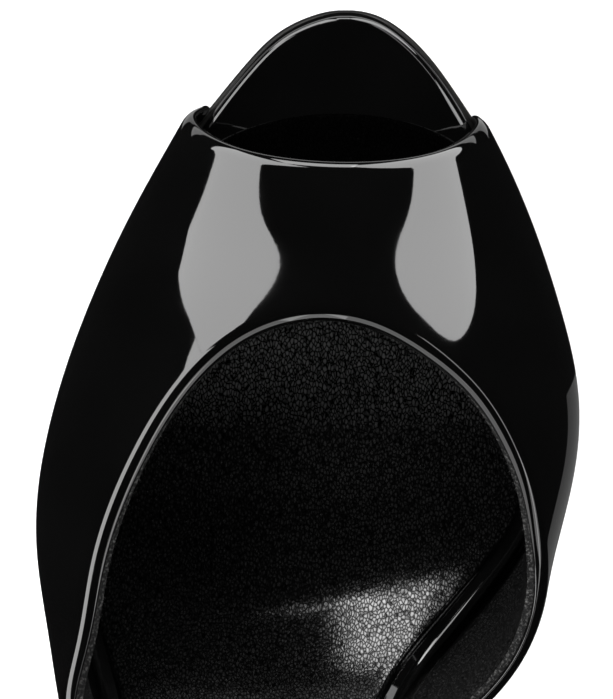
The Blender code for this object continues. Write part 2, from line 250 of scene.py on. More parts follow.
Taper = namedtuple("Taper", "down left")
HEEL_TAPER = [
    Taper(0.0, 1.0),
    Taper(0.06, 0.92),
    Taper(0.15, 0.72),
    Taper(0.28, 0.42),
    Taper(0.42, 0.22),
    Taper(0.6, 0.09),
    Taper(0.8, 0.025),
    Taper(1.0, 0.0),
]


def spline(knots, values):
    """A smooth curve (natural cubic spline) through rows of values at the knots, as a function."""
    knots = np.asarray(knots, float)
    values = np.asarray(values, float).reshape(len(knots), -1)
    count = len(knots)
    steps = np.diff(knots)
    slopes = np.diff(values, axis=0) / steps[:, None]
    rows = np.eye(count)
    right = np.zeros_like(values)
    for i in range(1, count - 1):
        rows[i, i - 1:i + 2] = steps[i - 1], 2 * (steps[i - 1] + steps[i]), steps[i]
        right[i] = 6 * (slopes[i] - slopes[i - 1])
    bends = np.linalg.solve(rows, right)

    def value(at):
        at = np.asarray(at, float)
        i = np.clip(np.searchsorted(knots, at) - 1, 0, count - 2)
        step = steps[i][..., None]
        to_next = (knots[i + 1] - at)[..., None]
        past = (at - knots[i])[..., None]
        cubic = (bends[i] * to_next ** 3 + bends[i + 1] * past ** 3) / (6 * step)
        first = (values[i] / step - bends[i] * step / 6) * to_next
        second = (values[i + 1] / step - bends[i + 1] * step / 6) * past
        return cubic + first + second

    return value


def column(table, name):
    """One column of a table."""
    return np.array([getattr(row, name) for row in table], float)


def unit(vectors):
    return vectors / np.linalg.norm(vectors, axis=-1, keepdims=True)


# Profile of the sole, worked out from the heel height
BREAK_END = TREAD_BACK + BREAK_RADIUS * sin(SHANK_ANGLE)
BREAK_RISE = BREAK_RADIUS * (1 - cos(SHANK_ANGLE))
ARCH_RUN = ARCH_RADIUS * (sin(SHANK_ANGLE) - sin(SEAT_ANGLE))
ARCH_RISE = ARCH_RADIUS * (cos(SEAT_ANGLE) - cos(SHANK_ANGLE))
RISE_LEFT = HEEL_HEIGHT - BREAK_RISE - ARCH_RISE - (LENGTH - BREAK_END - ARCH_RUN) * tan(SEAT_ANGLE)
SHANK = RISE_LEFT / (sin(SHANK_ANGLE) - cos(SHANK_ANGLE) * tan(SEAT_ANGLE))
SHANK_END = BREAK_END + SHANK * cos(SHANK_ANGLE)
ARCH_END = SHANK_END + ARCH_RUN
TOE_RADIUS = (TREAD_FRONT ** 2 + TOE_SPRING ** 2) / (2 * TOE_SPRING)


def profile(behind):
    """Height of the sole's underside, and its slope, at places along the shoe."""
    behind = np.asarray(behind, float)
    toe = np.maximum(TREAD_FRONT - behind, 0)
    bend = np.clip(behind - TREAD_BACK, 0, BREAK_END - TREAD_BACK)
    shank = np.clip(behind - BREAK_END, 0, SHANK_END - BREAK_END)
    arch = np.clip(behind - SHANK_END, 0, ARCH_RUN)
    seat = np.maximum(behind - ARCH_END, 0)
    arch_slope = np.arcsin(sin(SHANK_ANGLE) - arch / ARCH_RADIUS)
    height = TOE_RADIUS - np.sqrt(TOE_RADIUS ** 2 - toe ** 2)
    height += BREAK_RADIUS - np.sqrt(BREAK_RADIUS ** 2 - bend ** 2)
    height += shank * tan(SHANK_ANGLE)
    height += ARCH_RADIUS * (np.cos(arch_slope) - cos(SHANK_ANGLE))
    height += seat * tan(SEAT_ANGLE)
    slope = np.arcsin(bend / BREAK_RADIUS) - np.arcsin(toe / TOE_RADIUS) + arch_slope - SHANK_ANGLE
    return height, slope


def on_sole(x, behind, level):
    """Points that lie a level above the sole's underside."""
    height, slope = profile(behind)
    y = level * np.sin(slope) - behind
    return np.stack(np.broadcast_arrays(x, y, height + level * np.cos(slope)), axis=-1)


def round_ends(behind):
    """Shares of the outline that run evenly round the toe and the back of the seat."""
    return np.arccos(np.clip(1 - 2 * np.asarray(behind, float) / LENGTH, -1, 1)) / pi


EDGE_CURVE = spline(
    round_ends(column(INSOLE_EDGE, "behind")),
    np.stack([column(INSOLE_EDGE, side) for side in ("lateral", "medial")], axis=1))
OUTSOLE_REACH = spline(column(OUTSOLE_BEYOND, "behind"), column(OUTSOLE_BEYOND, "reach"))


def insole_edge(behind):
    """x of the insole's outer and inner edge."""
    return EDGE_CURVE(round_ends(behind))


def outsole_edge(behind):
    """x of the outsole's outer and inner edge."""
    return insole_edge(behind) + OUTSOLE_REACH(behind) * np.array([-1, 1])


def sock_edge(behind):
    """The insole's edge, set in, with a rounded nose under the toe opening and a rounded back."""
    before_tail = np.minimum(behind, SOCK_BACK - SOCK_TAIL)
    step = insole_edge(before_tail + EDGE_STEP) - insole_edge(before_tail - EDGE_STEP)
    slant = np.clip(step / (2 * EDGE_STEP), -1, 1)
    edge = insole_edge(before_tail) + SOCK_INSET * np.sqrt(1 + slant ** 2) * np.array([1, -1])
    into_nose = np.maximum(0, 1 - (behind - SOCK_FRONT) / SOCK_NOSE)
    into_tail = np.maximum(0, 1 - (SOCK_BACK - behind) / SOCK_TAIL)
    narrow = np.sqrt(np.maximum(0, 1 - np.maximum(into_nose, into_tail) ** 2))
    middle = edge.mean(axis=-1, keepdims=True)
    return middle + (edge - middle) * narrow[..., None]


def hollow(x, behind):
    """How far the insole's upper face lies above its flat shape: low in the middle of the waist."""
    lowest = insole_edge(behind).mean(axis=-1) - DISH_ASIDE
    share = np.interp(behind, DISH_PLACES, (0, 1, 1, 0))
    eased = share * share * (3 - 2 * share)
    return eased * (DISH * (x - lowest) ** 2 - DISH_DEPTH)


SECTION_NAMES = Section._fields[1:]
SECTION_CURVE = spline(
    column(UPPER_SECTIONS, "behind"),
    np.stack([column(UPPER_SECTIONS, name) for name in SECTION_NAMES], axis=1))
SHARE_WEIGHTS = spline(SECTION_SHARES, np.eye(len(SECTION_SHARES)))


def section_points(behind):
    """The points of the upper's sections: x and height above the feather edge."""
    row = Section(behind, *np.moveaxis(SECTION_CURVE(behind), -1, 0))
    edge = insole_edge(behind)
    foot = WALL + WALL_CLEARANCE
    flat = np.zeros_like(row.crown)
    lateral = np.stack([row.lateral, row.lateral_rise], axis=-1)
    medial = np.stack([row.medial, row.medial_rise], axis=-1)
    crown = np.stack([row.crown, row.crown_rise], axis=-1)

    def shoulder(bulge, full):
        reach = 2 ** (-1 / full)
        x = crown[..., 0] + (bulge[..., 0] - crown[..., 0]) * reach
        rise = bulge[..., 1] + (crown[..., 1] - bulge[..., 1]) * reach
        return np.stack([x, rise], axis=-1)

    return np.stack([
        np.stack([edge[..., 0] - foot, flat], axis=-1),
        lateral,
        shoulder(lateral, row.lateral_full),
        crown,
        shoulder(medial, row.medial_full),
        medial,
        np.stack([edge[..., 1] + foot, flat], axis=-1),
    ], axis=-2)


def upper_point(share, behind):
    """Points on the outside of the upper."""
    share, behind = np.broadcast_arrays(share, behind)
    across = np.einsum("...k,...kc->...c", SHARE_WEIGHTS(share), section_points(behind))
    points = on_sole(across[..., 0], behind, INSOLE_LEVEL)
    points[..., 2] += across[..., 1]
    return points


def upper_slants(share, behind):
    """How a point of the upper moves with its share and with its place along the shoe."""
    by_share = upper_point(share + SHARE_STEP, behind) - upper_point(share - SHARE_STEP, behind)
    by_behind = upper_point(share, behind + BEHIND_STEP) - upper_point(share, behind - BEHIND_STEP)
    return by_share / (2 * SHARE_STEP), by_behind / (2 * BEHIND_STEP)


def upper_normal(share, behind):
    """Outward directions of the upper's surface."""
    by_share, by_behind = upper_slants(share, behind)
    return unit(np.cross(by_behind, by_share))


def cut_line(table, inset=0.0):
    """A cut edge of the upper, laid flat: way round and distance behind the toe tip. The inset moves
    it over the surface, square to itself and away from the toe where it is positive."""
    points = np.stack([GIRTH * column(table, "share"), column(table, "behind")], axis=1)
    walked = np.append(0, np.cumsum(np.linalg.norm(np.diff(points, axis=0), axis=1)))
    line = spline(walked, points)(np.linspace(0, walked[-1], CURVE_STEPS))
    share, behind = line[:, 0] / GIRTH, line[:, 1]
    along = unit(np.gradient(upper_point(share, behind), axis=0))
    by_share, by_behind = upper_slants(share, behind)
    side = np.cross(along, unit(np.cross(by_behind, by_share)))
    slants = np.stack([by_share, by_behind], axis=-1)
    steps = np.stack([np.linalg.lstsq(slant, way, rcond=None)[0] for slant, way in zip(slants, side)])
    return line + inset * steps * np.array([GIRTH, 1])


def read_line(line, share):
    """Distance behind the toe tip at which a cut edge crosses lines of equal share."""
    return np.interp(GIRTH * share, line[:, 0], line[:, 1])


def even_shares(count):
    """Shares whose lines are evenly spaced along the toe opening and the topline together."""
    fine = np.linspace(0, 1, CURVE_STEPS)
    walked = np.zeros(len(fine))
    for table in (TOE_OPENING, TOPLINE):
        rim = upper_point(fine, read_line(cut_line(table), fine))
        walked[1:] += np.cumsum(np.linalg.norm(np.diff(rim, axis=0), axis=1))
    return np.interp(np.linspace(0, walked[-1], count), walked, fine)


# Where the frame has the shoe: the top lift's flat front and its middle give the shift
LIFT_LOW, LIFT_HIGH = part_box("top_lift")
TIP_MIDDLE = float(insole_edge(TIP_BEHIND).mean())
SHIFT = np.array([
    (LIFT_LOW.x + LIFT_HIGH.x) / 2 / MM - TIP_MIDDLE,
    LIFT_HIGH.y / MM + TIP_BEHIND + cos(TIP_TURN) * TIP_LENGTH / 2,
    LIFT_LOW.z / MM,
])


def smooth(mesh):
    """Smooth shading with the creases kept."""
    mesh.shade_smooth()
    mesh.set_sharp_from_angle(angle=CREASE)


def add_piece(name, points, faces, finishes, replaces=None, finish_of_face=None):
    """A smooth mesh piece of the shoe from points in millimetres."""
    mesh = bpy.data.meshes.new(name)
    mesh.from_pydata((np.asarray(points).reshape(-1, 3) + SHIFT) * MM, [], faces)
    for finish in finishes:
        mesh.materials.append(finish)
    if finish_of_face is not None:
        mesh.polygons.foreach_set("material_index", np.asarray(finish_of_face, np.int32))
    smooth(mesh)
    piece = bpy.data.objects.new(name, mesh)
    bpy.context.scene.collection.objects.link(piece)
    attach(piece, "root")
    if replaces:
        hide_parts(replaces)
    return piece


def loft_faces(rows, ring):
    """Faces between neighbouring closed rings, and across the two end rings."""
    faces = []
    for i in range(rows - 1):
        for j in range(ring):
            k = (j + 1) % ring
            faces.append((i * ring + j, i * ring + k, (i + 1) * ring + k, (i + 1) * ring + j))
    last = (rows - 1) * ring
    for j in range(ring // 2 - 1):
        faces.append((ring - 1 - j, ring - 2 - j, j + 1, j))
        faces.append((last + j, last + j + 1, last + ring - 2 - j, last + ring - 1 - j))
    return faces


def roll_profile(bends, steps):
    """A turned-over edge: distance beyond the place where it starts to turn, and depth."""
    turns = np.linspace(0, pi, ROLL_PARTS * steps + 1)
    radius = np.array([
        next(bend.radius for bend in bends if np.degrees(turn) <= bend.until + 1e-6) for turn in turns])
    step = np.diff(turns)
    out = np.append(0, np.cumsum(radius[1:] * np.cos(turns[1:] - step / 2) * step))
    depth = np.append(0, np.cumsum(radius[1:] * np.sin(turns[1:] - step / 2) * step))
    walked = np.append(0, np.cumsum(radius[1:] * step))
    at = np.linspace(0, walked[-1], steps + 2)[1:-1]
    return np.interp(at, walked, out), np.interp(at, walked, depth), out.max(), depth[-1]


def edge_side(edge, normal):
    """Directions over the surface, square to an edge and away from the toe."""
    return unit(np.cross(unit(np.gradient(edge, axis=0)), normal))


def sweep_edge(edge, normal, side, out, depth):
    """Points of a cross-section carried along an edge, square to it."""
    return edge[:, None] + side[:, None] * out[:, None] - normal[:, None] * depth[:, None]


def way_to_line(share, behind, line):
    """Distance to a cut edge, over the upper laid flat."""
    flat = np.stack([GIRTH * share, behind], axis=-1)
    sparse = line[::4]
    return np.sqrt(np.min(np.sum((flat[..., None, :] - sparse) ** 2, axis=-1), axis=-1))


def padding(share, behind, line, reach):
    """Padding under the band along a rolled edge: full where the roll starts, none beyond the band."""
    way = way_to_line(share, behind, line) - reach
    return np.clip(1 - way / PADDED, 0, 1) ** 2


def settle(rings):
    """One more ring at each end, let down into the sole's edge."""
    def let_down(ring):
        slope = profile(-ring[:, 1])[1]
        return ring - SETTLE * np.stack([0 * slope, np.sin(slope), np.cos(slope)], axis=1)

    return np.concatenate([let_down(rings[0])[None], rings, let_down(rings[-1])[None]])


SHARES = even_shares(UPPER_LINES)
TOP_OUT, TOP_DEPTH, TOP_REACH, TOP_THICK = roll_profile(TOPLINE_ROLL, ROLL_STEPS)
TOE_OUT, TOE_DEPTH, TOE_REACH, TOE_THICK = roll_profile(TOE_ROLL, ROLL_STEPS)


def upper_grid(toe_inset, top_inset):
    """Shares and places of a sheet of the upper between its two trimmed edges."""
    front = read_line(cut_line(TOE_OPENING, toe_inset), SHARES)
    back = read_line(cut_line(TOPLINE, -top_inset), SHARES)
    steps = np.linspace(0, 1, UPPER_STEPS)
    behind = front[:, None] + (back - front)[:, None] * steps
    return np.repeat(SHARES[:, None], UPPER_STEPS, axis=1), behind


def add_vamp(patent):
    """Patent sheet of the upper: outside, rolled topline, inside and rolled toe edge in each ring."""
    share, behind = upper_grid(TOE_REACH, TOP_REACH - TOP_BEYOND)
    outside = upper_point(share, behind)
    normal = upper_normal(share, behind)
    at_top = padding(share, behind, cut_line(TOPLINE, TOP_BEYOND), TOP_REACH)
    at_toe = padding(share, behind, cut_line(TOE_OPENING), TOE_REACH)
    depth = SHEET + (TOP_THICK - SHEET) * at_top + (TOE_THICK - SHEET) * at_toe
    inside = outside - normal * depth[..., None]
    top_side = edge_side(outside[:, -1], normal[:, -1])
    top = sweep_edge(outside[:, -1], normal[:, -1], top_side, TOP_OUT, TOP_DEPTH)
    toe_side = -edge_side(outside[:, 0], normal[:, 0])
    toe = sweep_edge(outside[:, 0], normal[:, 0], toe_side, TOE_OUT, TOE_DEPTH)
    half = ROLL_STEPS // 2
    toe_top, toe_low = toe[:, half - 1::-1], toe[:, :half - 1:-1]
    rings = settle(np.concatenate([toe_top, outside, top, inside[:, ::-1], toe_low], axis=1))
    add_piece(
        "vamp_patent", rings, loft_faces(*rings.shape[:2]), [patent], "upper")


def add_lining(leather, raw):
    """Lining of the upper, cut off raw a little below the rolled topline. Returns the two sides of
    that raw edge, and the direction in which it faces."""
    share, behind = upper_grid(LINING_FRONT, TOP_REACH - TOP_BEYOND - LINING_DROP)
    outside = upper_point(share, behind)
    normal = upper_normal(share, behind)
    at_top = padding(share, behind, cut_line(TOPLINE, TOP_BEYOND), TOP_REACH)
    depth = SHEET + (TOP_THICK - SHEET) * at_top
    back = outside - normal * (depth + LINING_GAP)[..., None]
    face = outside - normal * (depth + LINING)[..., None]
    rings = settle(np.concatenate([back, face[:, ::-1]], axis=1))
    rows, ring, _ = rings.shape
    faces = loft_faces(rows, ring)
    cut = {UPPER_STEPS - 1, ring - 1}
    raw_face = [int(i % ring in cut and i < (rows - 1) * ring) for i in range(len(faces))]
    add_piece("vamp_lining", rings, faces, [leather, raw], finish_of_face=raw_face)
    return back[:, -1], face[:, -1], edge_side(outside[:, -1], normal[:, -1])


def add_fibres(back, face, side, raw):
    """Loose fibres that stand out of the lining's raw edge, each a thin bent spike."""
    chance = np.random.default_rng(FIBRE_SEED)
    at = chance.uniform(2, len(back) - 3, FIBRES)
    row = at.astype(int)
    between = (at - row)[:, None]
    depth = chance.uniform(0, 1, FIBRES)[:, None]

    def read(lines):
        return lines[row] * (1 - between) + lines[row + 1] * between

    foot = read(back) * (1 - depth) + read(face) * depth
    inward = unit(read(face) - read(back))
    forward = unit(back[row + 1] - back[row])
    length = chance.uniform(*FIBRE_LENGTHS, FIBRES)[:, None]
    lean = chance.normal(0, FIBRE_LEAN, (FIBRES, 2))
    droop = chance.normal(0, FIBRE_DROOP, (FIBRES, 2))
    way = unit(read(side) + lean[:, :1] * forward + (FIBRE_INWARD + lean[:, 1:]) * inward)
    bent = unit(way + droop[:, :1] * forward + droop[:, 1:] * inward)
    middle = foot + way * length * FIBRE_BEND
    tip = middle + bent * length * (1 - FIBRE_BEND)
    aside = forward + 0.3 * inward  # a direction that hardly any fibre follows
    first = unit(np.cross(way, aside))
    second = np.cross(way, first)
    corners = []
    for centre, radius in zip((foot - FIBRE_SUNK * way, middle), FIBRE_RADII):
        for turn in (0, 2 * pi / 3, 4 * pi / 3):
            corners.append(centre + radius * (cos(turn) * first + sin(turn) * second))
    corners.append(tip)
    points = np.stack(corners, axis=1)
    spike = [(0, 2, 1), (0, 1, 4, 3), (1, 2, 5, 4), (2, 0, 3, 5), (3, 4, 6), (4, 5, 6), (5, 3, 6)]
    starts = range(0, FIBRES * len(corners), len(corners))
    faces = [tuple(start + corner for corner in face) for start in starts for face in spike]
    add_piece("lining_fibres", points, faces, [raw])


def outline(edge, places):
    """Closed outline of a sole layer in plan: down the outer side and back up the inner side."""
    sides = edge(places)
    outer = np.stack([sides[:, 0], places], axis=1)
    inner = np.stack([sides[:, 1], places], axis=1)
    return np.concatenate([outer, inner[::-1]])


def inset_outline(ring, distance):
    """An outline set in, square to itself."""
    along = unit(np.roll(ring, -1, axis=0) - np.roll(ring, 1, axis=0))
    return ring + distance * np.stack([along[:, 1], -along[:, 0]], axis=1)


def fill_faces(start, count, columns, flip):
    """Faces of a sheet of rows that run from the outer side to the inner side."""
    faces = []
    for i in range(count - 1):
        for j in range(columns):
            a = start + i * (columns + 1) + j
            b = a + columns + 1
            faces.append((a, a + 1, b + 1, b) if flip else (a, b, b + 1, a + 1))
    return faces


def round_places(front, back, count):
    """Places along a layer that lie closer together towards its two rounded ends."""
    turns = np.linspace(END_TURN, 1 - END_TURN, count) * pi
    return front + (back - front) * (1 - np.cos(turns)) / 2


def breast_places(back, count):
    """Places along a layer with a rounded toe and a straight end at the heel's breast."""
    turns = np.linspace(END_TURN, 1, count) * pi / 2
    return back * (1 - np.cos(turns))


def rim_arc(width, height, top, steps):
    """Inset and level round an upper rim."""
    turns = np.linspace(0, pi / 2, steps)
    return [(width * (1 - cos(t)), top - height * (1 - sin(t))) for t in turns]


def floor_arc(radius, steps=6):
    """Inset and level round a lower rim, from the bottom to the side."""
    turns = np.linspace(0, pi / 2, steps)
    return [(radius * (1 - sin(t)), radius * (1 - cos(t))) for t in turns]


def add_layer(
        name, edge, places, rim, columns, finishes, replaces,
        crown=0.0, skive=0.0, finish_of_ring=None):
    """A sole layer: rings of its rim from the underside up, closed above and below by rows."""
    def laid(plan, level):
        x, behind = plan[..., 0], plan[..., 1]
        share = np.clip((level - OUTSOLE_THICK) / (INSOLE_TOP - OUTSOLE_THICK), 0, 1)
        thinner = skive * np.clip(1 - (behind - SOCK_FRONT) / SKIVE_LENGTH, 0, 1)
        return on_sole(x, behind, level + share * hollow(x, behind) - thinner * (level > INSOLE_TOP))

    base = outline(edge, places)
    count = len(places)
    rings = [laid(inset_outline(base, inset), level) for inset, level in rim]
    ring_length = 2 * count
    faces = []
    for i in range(len(rings) - 1):
        for j in range(ring_length):
            k = (j + 1) % ring_length
            a, b = i * ring_length, (i + 1) * ring_length
            faces.append((a + j, b + j, b + k, a + k))
    side_faces = len(faces)
    points = [np.concatenate(rings)]
    start = len(rings) * ring_length
    across = np.linspace(0, 1, columns + 1)
    bulge = np.sin(across * pi) ** CROWN_POWER
    for (inset, level), above in ((rim[-1], True), (rim[0], False)):
        ring = inset_outline(base, inset)
        outer, inner = ring[:count], ring[:count - 1:-1]
        plan = outer[:, None] + (inner - outer)[:, None] * across[:, None]
        width = (inner - outer)[:, :1]
        raised = crown * bulge * np.minimum(1, width / CROWN_WIDTH) if above else 0.0
        points.append(laid(plan, level + raised).reshape(-1, 3))
        faces += fill_faces(start, count, columns, above)
        start += count * (columns + 1)
    finish_of_face = None
    if finish_of_ring is not None:
        finish_of_face = [finish_of_ring(i // ring_length) for i in range(side_faces)]
        finish_of_face += [0] * (len(faces) - side_faces)
    weld(add_piece(name, np.concatenate(points), faces, finishes, replaces, finish_of_face))


def weld(piece):
    """Join points that lie on each other, so that the piece is one closed surface."""
    form = bmesh.new()
    form.from_mesh(piece.data)
    bmesh.ops.remove_doubles(form, verts=form.verts, dist=WELD_GAP * MM)
    bmesh.ops.recalc_face_normals(form, faces=form.faces)
    form.to_mesh(piece.data)
    form.free()
    smooth(piece.data)


def seat_ring(level, stations):
    """Outline of the heel's seat: down the outer side to the back and up the inner side."""
    back = LENGTH - HEEL_INSET
    places = BREAST + (back - BREAST) * np.sin(np.linspace(0, SEAT_TURN, stations) * pi / 2)
    sides = insole_edge(places) + HEEL_INSET * np.array([1, -1])
    outer = on_sole(sides[:, 0], places, level)
    inner = on_sole(sides[:, 1], places, level)
    return np.concatenate([outer, inner[::-1]])


def tip_ring(height, stations):
    """Outline of the heel's tip: flat towards the toe and round at the back."""
    turns = np.linspace(-TIP_TURN, TIP_TURN, 2 * stations)
    x = TIP_MIDDLE + np.sin(turns) * TIP_WIDTH / 2
    y = -TIP_BEHIND - np.cos(turns) * TIP_LENGTH / 2
    return np.stack([x, y, np.full_like(x, height)], axis=1)


def close_ring(ring, count, softening):
    """A ring with its flat front added, spaced evenly from the middle of that front, and with its
    corners softened in some rounds."""
    front = ring[-1] + (ring[0] - ring[-1]) * np.linspace(0, 1, FRONT_STEPS)[:, None]
    half = FRONT_STEPS // 2
    whole = np.concatenate([front[half:-1], ring, front[1:half]])
    whole = np.concatenate([whole, whole[:1]])
    walked = np.append(0, np.cumsum(np.linalg.norm(np.diff(whole, axis=0), axis=1)))
    at = np.linspace(0, walked[-1], count, endpoint=False)
    even = np.stack([np.interp(at, walked, whole[:, c]) for c in range(3)], axis=1)
    for _ in range(softening):
        even[:, :2] = (np.roll(even, 1, axis=0) + 2 * even + np.roll(even, -1, axis=0))[:, :2] / 4
    return even


def add_heel(patent):
    """Covered heel: rings from the insole down past the seat, which then taper to the tip."""
    left = spline(column(HEEL_TAPER, "down"), column(HEEL_TAPER, "left"))
    seat = seat_ring(0.0, HEEL_STATIONS)
    tip = tip_ring(LIFT_THICK + LIFT_GAP, HEEL_STATIONS)
    rings = [seat_ring(level, HEEL_STATIONS) for level in (INSOLE_LEVEL, SEAT_LEVEL)]
    for down in np.linspace(0, 1, HEEL_ROWS):
        ring = tip + (seat - tip) * left(down)
        ring[:, 2] = seat[:, 2] + (tip[:, 2] - seat[:, 2]) * down
        rings.append(ring)
    rings = np.array([close_ring(ring, HEEL_RING, HEEL_SOFTENING) for ring in rings])
    weld(add_piece(
        "heel_covered", rings, loft_faces(*rings.shape[:2]), [patent], "heel"))


def add_lift(rubber):
    """Top lift: bevelled where it meets the heel, with a rounded rim on the floor."""
    bevel = [(LIFT_BEVEL, LIFT_THICK), (0.0, LIFT_THICK - LIFT_BEVEL)]
    rings = []
    for inset, height in bevel + floor_arc(LIFT_RIM)[::-1]:
        ring = close_ring(tip_ring(height, LIFT_STATIONS), LIFT_RING, LIFT_SOFTENING)
        middle = ring.mean(axis=0)
        ring[:, :2] = middle[:2] + (ring[:, :2] - middle[:2]) * (1 - inset / (TIP_WIDTH / 2))
        rings.append(ring)
    rings = np.array(rings)
    weld(add_piece(
        "lift_rubber_tip", rings, loft_faces(*rings.shape[:2]), [rubber], "top_lift"))


# Grain: distances from a cell's edge at which its groove ends and its top begins
GROOVE_END = 0.03
TOP_START = 0.35
PATENT_SHADE = 0.0015


class Nodes:
    """Shader nodes of one material."""

    def __init__(self, name):
        self.material = bpy.data.materials.new(name)
        self.material.use_nodes = True
        self.tree = self.material.node_tree
        self.shader = self.tree.nodes["Principled BSDF"]
        self.place = self.add("ShaderNodeTexCoord").outputs["Object"]

    def add(self, kind, **values):
        node = self.tree.nodes.new(kind)
        for name, value in values.items():
            setattr(node, name, value)
        return node

    def link(self, source, target):
        self.tree.links.new(source, target)

    def feed(self, **sources):
        """Link values to the shader's inputs."""
        for name, source in sources.items():
            self.link(source, self.shader.inputs[name.replace("_", " ")])

    def set(self, **values):
        """Set the shader's inputs to fixed values."""
        for name, value in values.items():
            self.shader.inputs[name.replace("_", " ")].default_value = value

    def stretch(self, scale, rotation=(0, 0, 0)):
        """Places scaled and turned, for drawn-out patterns."""
        mapping = self.add("ShaderNodeMapping")
        mapping.inputs["Scale"].default_value = scale
        mapping.inputs["Rotation"].default_value = rotation
        self.link(self.place, mapping.inputs["Vector"])
        return mapping.outputs["Vector"]

    def noise(self, size, detail=2.0, roughness=0.5, place=None):
        """Soft noise whose features are about a size in millimetres."""
        node = self.add("ShaderNodeTexNoise")
        node.inputs["Scale"].default_value = 1 / (size * MM)
        node.inputs["Detail"].default_value = detail
        node.inputs["Roughness"].default_value = roughness
        self.link(place or self.place, node.inputs["Vector"])
        return node.outputs["Fac"]

    def cells(self, size, place=None):
        """Distance to the edges of cells of about a size in millimetres."""
        node = self.add("ShaderNodeTexVoronoi", feature="DISTANCE_TO_EDGE")
        node.inputs["Scale"].default_value = 1 / (size * MM)
        self.link(place or self.place, node.inputs["Vector"])
        return node.outputs["Distance"]

    def ramp(self, source, low, high, start=0.3, end=0.7):
        """A colour or number that goes from low to high."""
        node = self.add("ShaderNodeValToRGB")
        for element, value, at in zip(node.color_ramp.elements, (low, high), (start, end)):
            element.position = at
            element.color = (*value, 1) if isinstance(value, tuple) else (value, value, value, 1)
        self.link(source, node.inputs["Fac"])
        return node.outputs["Color"]

    def along(self, *stops):
        """A number that follows stops (place in mm on the way to the toe, value)."""
        split = self.add("ShaderNodeSeparateXYZ")
        self.link(self.place, split.inputs["Vector"])
        share = self.add("ShaderNodeMapRange")
        first, last = stops[0][0], stops[-1][0]
        share.inputs["From Min"].default_value = first * MM
        share.inputs["From Max"].default_value = last * MM
        self.link(split.outputs["Y"], share.inputs["Value"])
        node = self.add("ShaderNodeValToRGB")
        elements = node.color_ramp.elements
        for _ in stops[2:]:
            elements.new(0.5)
        for element, (at, value) in zip(elements, stops):
            element.position = (at - first) / (last - first)
            element.color = (value, value, value, 1)
        self.link(share.outputs["Result"], node.inputs["Fac"])
        return node.outputs["Color"]

    def spread(self, cells, low, high):
        """A number that goes from low in the grooves between cells to high on their tops."""
        node = self.add("ShaderNodeMapRange")
        for name, value in (("From Min", GROOVE_END), ("From Max", TOP_START), ("To Min", low)):
            node.inputs[name].default_value = value
        if isinstance(high, float):
            node.inputs["To Max"].default_value = high
        else:
            self.link(high, node.inputs["To Max"])
        self.link(cells, node.inputs["Value"])
        return node.outputs["Result"]

    def bump(self, source, height, below=None, strength=None):
        """A bump of a height in millimetres, over another one."""
        node = self.add("ShaderNodeBump")
        node.inputs["Strength"].default_value = 1.0
        node.inputs["Distance"].default_value = height * MM
        self.link(source, node.inputs["Height"])
        if below:
            self.link(below, node.inputs["Normal"])
        if strength:
            self.link(strength, node.inputs["Strength"])
        return node.outputs["Normal"]


def patent_leather(name):
    """Black leather under a thick clear coat."""
    n = Nodes(name)
    n.feed(Base_Color=n.ramp(n.noise(18, 3), 0.8 * PATENT_SHADE, 1.2 * PATENT_SHADE))
    n.feed(Roughness=n.ramp(n.noise(9, 4), 0.03, 0.055))
    n.set(IOR=1.5, Coat_Weight=1.0, Coat_Roughness=0.02, Coat_IOR=1.5)
    waves = n.bump(n.noise(14, 1), 0.02)
    peel = n.bump(n.noise(1.6, 2), 0.0012, waves)
    n.feed(Normal=peel, Coat_Normal=peel)
    return n.material


def sock_leather():
    """Black leather with a fine, slightly drawn-out grain and a low sheen, plain under the toes; its
    grain tops carry painted light.
    """
    n = Nodes("sock_nappa")
    cells = n.cells(0.5, n.stretch((1.0, 0.58, 0.58), (0, 0, radians(18))))
    pressed = n.along((50, 1.0), (78, 0.0))
    # Painted light: the grain tops' colour changes along the shoe, lighter in a band just behind the
    # throat (painted highlight) and near black towards the toes (painted shade under the vamp).
    tops_painted_light = n.along((-20, 0.01), (20, 0.009), (34, 0.015), (42, 0.05), (50, 0.066), (75, 0.001))
    n.feed(Base_Color=n.spread(cells, 0.0004, tops_painted_light))
    n.feed(Specular_IOR_Level=n.spread(cells, 0.02, n.along((50, 0.6), (75, 0.0))))
    n.feed(Roughness=n.ramp(n.noise(2.5, 3), 0.11, 0.15))
    n.set(IOR=1.6)
    soft = n.bump(n.noise(9, 1), 0.03)
    grain = n.bump(n.spread(cells, 0.0, 1.0), 0.004, soft, pressed)
    n.feed(Normal=n.bump(n.noise(0.3, 3), 0.0015, grain, pressed))
    return n.material


def lining_leather():
    """Black leather with a matt grain."""
    n = Nodes("lining_grained")
    cells = n.cells(0.65)
    n.feed(Base_Color=n.spread(cells, 0.0004, 0.014))
    n.feed(Roughness=n.ramp(n.noise(1.2, 3), 0.38, 0.55))
    n.set(Specular_IOR_Level=0.2)
    grain = n.bump(n.spread(cells, 0.0, 1.0), 0.04)
    n.feed(Normal=n.bump(n.noise(0.3, 3), 0.015, grain))
    return n.material


def raw_leather():
    """Cut edge of black leather, with paler fibres."""
    n = Nodes("lining_raw_edge")
    dark, pale = (0.004, 0.004, 0.0041), (0.13, 0.128, 0.125)
    n.feed(Base_Color=n.ramp(n.noise(0.45, 4), dark, pale, 0.5, 0.74))
    n.set(Roughness=0.9)
    n.feed(Normal=n.bump(n.noise(0.2, 4), 0.15))
    return n.material


def sole_leather():
    """Black sole leather with pores and fine scuffs along the shoe."""
    n = Nodes("sole_black")
    n.feed(Base_Color=n.ramp(n.noise(6, 5), (0.010, 0.0095, 0.009), (0.02, 0.019, 0.018)))
    n.feed(Roughness=n.ramp(n.noise(3, 5), 0.38, 0.6))
    pores = n.bump(n.cells(0.5), 0.02)
    scuffs = n.noise(1.2, 4, 0.6, n.stretch((1.0, 0.12, 1.0)))
    n.feed(Normal=n.bump(scuffs, 0.02, pores))
    return n.material


